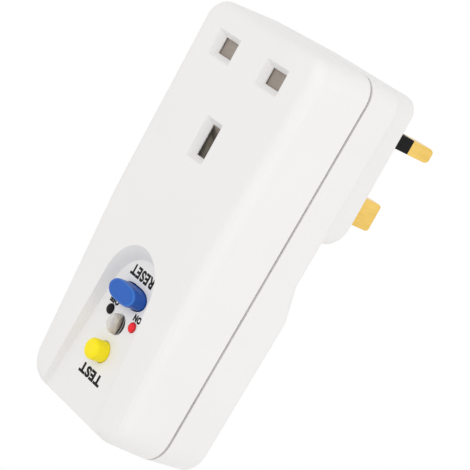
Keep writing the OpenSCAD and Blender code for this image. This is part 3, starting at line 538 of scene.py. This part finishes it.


# Indicator: a flag, cream with a black bar and then red, slides behind a clear domed window as the
# switch closes. The window is a polished acrylic moulding, pushed in from behind, and two black
# bands round its foot are painted dark reflections.
FLAG_RED = (0.85, 0.02, 0.025, 1)
FLAG_BLACK = (0.015, 0.015, 0.016, 1)
FLAG_CREAM = (0.95, 0.87, 0.76, 1)
FLAG_SPAN = 10 * MM
FLAG_START = 0.7
FLOOR_Y = -35.65 * MM
DOME_H = 3 * MM
DARK_REFLECTION = (0.006, 0.006, 0.006, 1)
DARK_REFLECTION_TOP = 0.32
PALE_REFLECTION = (0.7, 0.68, 0.65, 1)
AMBER_DEEP = (0.4, 0.34, 0.26, 1)
AMBER = (0.6, 0.5, 0.37, 1)
AMBER_PALE = (0.68, 0.59, 0.45, 1)
CROWN_HIGHLIGHT = (0.97, 0.95, 0.9, 1)
HIGHLIGHT_LIFT = 0.7
ACRYLIC_IOR = 1.49
flag_paint, tones = new_finish("flag_paint")
flecks = grain(tones, PEBBLE)
skin(
    tones,
    place_along(tones, "X") * (1 / FLAG_SPAN) + FLAG_START,
    [(0.41, FLAG_RED), (0.43, FLAG_BLACK), (0.55, FLAG_BLACK), (0.57, FLAG_CREAM)],
    0.4 + 0.15 * flecks,
    flecks,
    PEBBLE_H,
)
coated(flag_paint, "indicator_flag")
clear_acrylic, tones = new_finish("clear_acrylic")
ripple = grain(tones, 260)
side = place_along(tones, "X") * (1 / DOME_H) + 1
lift = (FLOOR_Y - place_along(tones, "Y")) * (1 / DOME_H)
# The window's tint is painted light: black bands at the foot, leaning to one side, are painted dark
# reflections with a pale painted reflection between them, and above them the amber lightens to a white
# painted highlight at the crown.
window_tint = [
    (0.02, DARK_REFLECTION),
    (0.15, DARK_REFLECTION),
    (0.16, PALE_REFLECTION),
    (0.175, PALE_REFLECTION),
    (0.185, DARK_REFLECTION),
    (0.3, DARK_REFLECTION),
    (0.34, AMBER_DEEP),
    (0.42, AMBER),
    (0.64, AMBER_PALE),
    (0.88, CROWN_HIGHLIGHT),
]
zone = 0.7 * lift + 0.3 * side
dome = 0.03 + 0.97 * lift.maths("GREATER_THAN", lift, 0)
dark_reflected = zone.maths("LESS_THAN", zone, DARK_REFLECTION_TOP)
veil = 0.52 - 1.1 * lift.maths("MAXIMUM", lift - HIGHLIGHT_LIFT, 0)
shader = tones.node(
    "ShaderNodeBsdfPrincipled",
    {},
    {
        "Base Color": tones.node("ShaderNodeValToRGB", {"stops": window_tint}, {"Fac": zone}),
        "Alpha": dome * zone.maths("MAXIMUM", veil, dark_reflected),
        "Coat Weight": 1 - dark_reflected,
        "Roughness": 0.01 + 0.03 * ripple,
        "IOR": ACRYLIC_IOR,
    },
)
tones.node("ShaderNodeOutputMaterial", {}, {"Surface": shader})
lens = finished(softened("indicator_lens", "window_lens", 0.1 * MM), clear_acrylic)
lens.visible_shadow = lens.visible_diffuse = False


# Buttons: the blue reset bar stands proud so that a thumb can press it, and a paler band round its rim is a
# painted highlight.
# The round yellow test button lies nearly flush. Both are glossy mouldings on long stems.
BLUE_FACE = (0.018, 0.118, 0.5, 1)
BLUE_RIM_HIGHLIGHT = (0.045, 0.19, 0.6, 1)
BLUE_EDGE = (0.03, 0.15, 0.53, 1)
BLUE_SIDE = (0.014, 0.085, 0.4, 1)
RIM_HIGHLIGHT_DEPTH = 2 * MM
YELLOW = (0.99, 0.83, 0.008, 1)
YELLOW_DEEP = (0.97, 0.79, 0.007, 1)
BUTTON_PEBBLE = 1300
# From the face back, the blue is paler round the rim, a painted highlight, and darker down the sides.
reset_blue, tones = new_finish("reset_blue")
fine = grain(tones, BUTTON_PEBBLE)
skin(
    tones,
    (place_along(tones, "Y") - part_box("reset_button")[0].y) * (1 / RIM_HIGHLIGHT_DEPTH) + 0.04 * fine,
    [(0.08, BLUE_FACE), (0.16, BLUE_RIM_HIGHLIGHT), (0.3, BLUE_EDGE), (0.45, BLUE_SIDE)],
    0.3 + 0.1 * fine,
    fine,
    PEBBLE_H,
    Specular_IOR_Level=0.25,
)
finished(softened("reset_button", "reset_bar", 0.3 * MM), reset_blue, "reset")
test_yellow = moulded("test_yellow", YELLOW, YELLOW_DEEP, 0.35, pebble=BUTTON_PEBBLE, shine=0.25)
finished(softened("test_button", "test_disc", 0.25 * MM), test_yellow, "test")


# Front cover: the other half of the housing, with the three apertures and the scooped recess
# round the buttons. It is the same white moulding as the rear cover.
finished(softened("front_cover", "front_shell", 0.3 * MM), white_plastic)


# Markings: pad-printed in black on the recess floor, the ink a few hundredths of a millimetre
# high. Beside the window are two low studs, a red one for on and a black one for off.
INK_H = 0.03 * MM
INK = (0.01, 0.009, 0.009, 1)
INK_DEEP = (0.006, 0.006, 0.006, 1)
INK_GRAIN = 3000
RED = (0.92, 0.018, 0.03, 1)
RED_SHADE = (0.62, 0.012, 0.02, 1)
STUD_R = 1.45 * MM
STUD_H = 0.9 * MM
STUD_Z = 72.4 * MM
STUD_SIDES = 32
STUD_RINGS = 5
STATE_Z = 69.9 * MM
STATE_H = 1.9 * MM
STATE_WEIGHT = 0.075
TYPE_WELD = 2e-4
TYPE_SPACE = 1.12
ink_black = moulded("ink_black", INK, INK_DEEP, 0.5, pebble=INK_GRAIN, shine=0.2)
ink_red, tones = new_finish("ink_red")
fine = grain(tones, INK_GRAIN)
# The red stud darkens towards its foot and is brightest at its top: painted shade and highlight on its dome.
skin(
    tones,
    (FLOOR_Y - place_along(tones, "Y")) * (1 / STUD_H) + 0.05 * fine,
    [(0.4, RED_SHADE), (0.75, RED)],
    0.4 + 0.1 * fine,
    fine,
    PEBBLE_H,
    Specular_IOR_Level=0.3,
)


def printed(name, words, x, z, height, width, weight):
    """A word laid on the recess floor, brought to its printed height and width."""
    text = bpy.data.curves.new(name, "FONT")
    text.body = words
    text.extrude = 0.5
    text.offset = weight
    text.space_character = TYPE_SPACE
    piece = as_mesh(bpy.data.objects.new(name + "_type", text), name)
    shape = bmesh.new()
    shape.from_mesh(piece.data)
    bmesh.ops.remove_doubles(shape, verts=shape.verts, dist=TYPE_WELD)
    bmesh.ops.dissolve_degenerate(shape, edges=shape.edges, dist=TYPE_WELD)
    shape.to_mesh(piece.data)
    shape.free()
    corners = [vertex.co.copy() for vertex in piece.data.vertices]
    low = Vector([min(c[i] for c in corners) for i in range(3)])
    high = Vector([max(c[i] for c in corners) for i in range(3)])
    for vertex in piece.data.vertices:
        share = [(vertex.co[i] - low[i]) / (high[i] - low[i]) - 0.5 for i in range(3)]
        vertex.co = (x + share[0] * width, FLOOR_Y - share[2] * INK_H, z + share[1] * height)
    return finished(piece, ink_black)


def stud(name, x, material):
    """A low dome on the recess floor, closed below."""
    shape = bmesh.new()
    middle = shape.verts.new((x, FLOOR_Y - STUD_H, STUD_Z))
    rings = []
    for i in range(1, STUD_RINGS + 1):
        tilt = i * pi / (2 * STUD_RINGS)
        reach, lift = STUD_R * sin(tilt), STUD_H * cos(tilt)
        angles = [2 * pi * k / STUD_SIDES for k in range(STUD_SIDES)]
        rings.append([
            shape.verts.new((x + reach * cos(a), FLOOR_Y - lift, STUD_Z + reach * sin(a)))
            for a in angles
        ])
    for k in range(STUD_SIDES):
        n = (k + 1) % STUD_SIDES
        shape.faces.new((middle, rings[0][k], rings[0][n]))
        for inner, outer in zip(rings, rings[1:]):
            shape.faces.new((inner[k], outer[k], outer[n], inner[n]))
    for face in shape.faces:
        face.smooth = True
    shape.faces.new(rings[-1])
    bmesh.ops.recalc_face_normals(shape, faces=shape.faces)
    return finished(built(shape, name), material)


printed("reset_word", "RESET", 0.5 * MM, 60.4 * MM, 3.1 * MM, 10.8 * MM, 0.045)
printed("test_word", "TEST", -0.1 * MM, 88.9 * MM, 3.0 * MM, 10.5 * MM, 0.055)
printed("on_word", "ON", -6.0 * MM, STATE_Z, STATE_H, 3.4 * MM, STATE_WEIGHT)
printed("off_word", "OFF", 5.6 * MM, STATE_Z, STATE_H, 4.2 * MM, STATE_WEIGHT)
stud("on_spot", -5.8 * MM, ink_red)
stud("off_spot", 5.5 * MM, ink_black)


# Cover screws: four zinc-plated steel screws, driven from the plug side into the front cover.
# Their heads sit just below the surface of the rear cover.
ZINC = (0.62, 0.62, 0.63, 1)
ZINC_DULL = (0.45, 0.45, 0.47, 1)
zinc_steel = drawn_metal("zinc_steel", ZINC, ZINC_DULL, 0.28)
coated(zinc_steel, "cover_screws")


# Setting: a plain pale sheet below the part, which runs out into white, soft light from the
# camera's side, and white behind. The part hangs free, as it is before it is plugged in.
PURE_WHITE = (1, 1, 1, 1)
PAPER = (0.84, 0.84, 0.84, 1)
PAPER_PALE = (0.88, 0.88, 0.88, 1)
SHEET_Z = -640 * MM
SHEET_HALF = 1.5
FADE_RATE = 1.4
FADE_START = 0.45
ROOM_LIGHT = 0.9
LAMP_SIZE = 0.6
LAMP_AIM = Vector((0, -0.02, 0.045))
LENS_LENGTH = 167.34
SENSOR_W = 36
CAMERA_PLACE = (-0.423625, -0.379792, -0.030164)
CAMERA_TURN = (radians(-98.3443), radians(28.9345), radians(126.5987))


def seen_white(tones):
    """One for the rays that meet the eye, straight or through gloss or glass."""
    seen = tones.node("ShaderNodeLightPath", out="Is Camera Ray")
    for kind in ("Is Glossy Ray", "Is Transmission Ray"):
        seen = seen.maths("MAXIMUM", seen, tones.node("ShaderNodeLightPath", out=kind))
    return seen


paper, tones = new_finish("paper")
fibre = grain(tones, 300)
sheet_tint = tones.node("ShaderNodeValToRGB", {"stops": [(0.3, PAPER), (0.7, PAPER_PALE)]}, {"Fac": fibre})
matt = tones.node("ShaderNodeBsdfPrincipled", {}, {"Base Color": sheet_tint, "Roughness": 0.7 + 0.1 * fibre})
white = tones.node("ShaderNodeEmission", {}, {"Color": PURE_WHITE, "Strength": 1.0})
place = tones.node("ShaderNodeTexCoord", out="Object")
reach = tones.node("ShaderNodeVectorMath", {"operation": "LENGTH"}, {0: place}, out="Value")
reach = reach.maths("MINIMUM", reach.maths("MAXIMUM", reach * FADE_RATE - FADE_START, 0), 1)
blend = tones.node("ShaderNodeMixShader", {}, {0: reach * seen_white(tones), 1: matt, 2: white})
tones.node("ShaderNodeOutputMaterial", {}, {"Surface": blend})
shape = bmesh.new()
bmesh.ops.create_grid(shape, x_segments=8, y_segments=8, size=SHEET_HALF)
sheet = built(shape, "sheet")
sheet.data.materials.append(paper)
sheet.location.z = SHEET_Z

world = bpy.data.worlds.new("white_room")
bpy.context.scene.world = world
world.use_nodes = True
world.node_tree.nodes.clear()
tones = Tone(world.node_tree)
room = tones.node("ShaderNodeBackground", {}, {"Color": PURE_WHITE, "Strength": ROOM_LIGHT})
white = tones.node("ShaderNodeBackground", {}, {"Color": PURE_WHITE, "Strength": 1.0})
blend = tones.node("ShaderNodeMixShader", {}, {0: seen_white(tones), 1: room, 2: white})
tones.node("ShaderNodeOutputWorld", {}, {"Surface": blend})


def softbox(name, place, power):
    light = bpy.data.lights.new(name, "AREA")
    light.shape = "DISK"
    light.size = LAMP_SIZE
    light.energy = power
    lamp = linked(name, light)
    lamp.location = place
    lamp.visible_camera = False
    lamp.rotation_euler = (LAMP_AIM - Vector(place)).to_track_quat("-Z", "Y").to_euler()


softbox("key", (-0.25, -0.62, -0.33), 0.95)
softbox("side", (-0.72, 0.12, -0.1), 0.75)

camera_data = bpy.data.cameras.new("camera")
camera_data.sensor_width = SENSOR_W
camera_data.lens = LENS_LENGTH
camera_data.clip_start = 0.01
camera = linked("camera", camera_data)
camera.location = CAMERA_PLACE
camera.rotation_euler = CAMERA_TURN
bpy.context.scene.camera = camera
bpy.context.scene.view_settings.view_transform = "Standard"
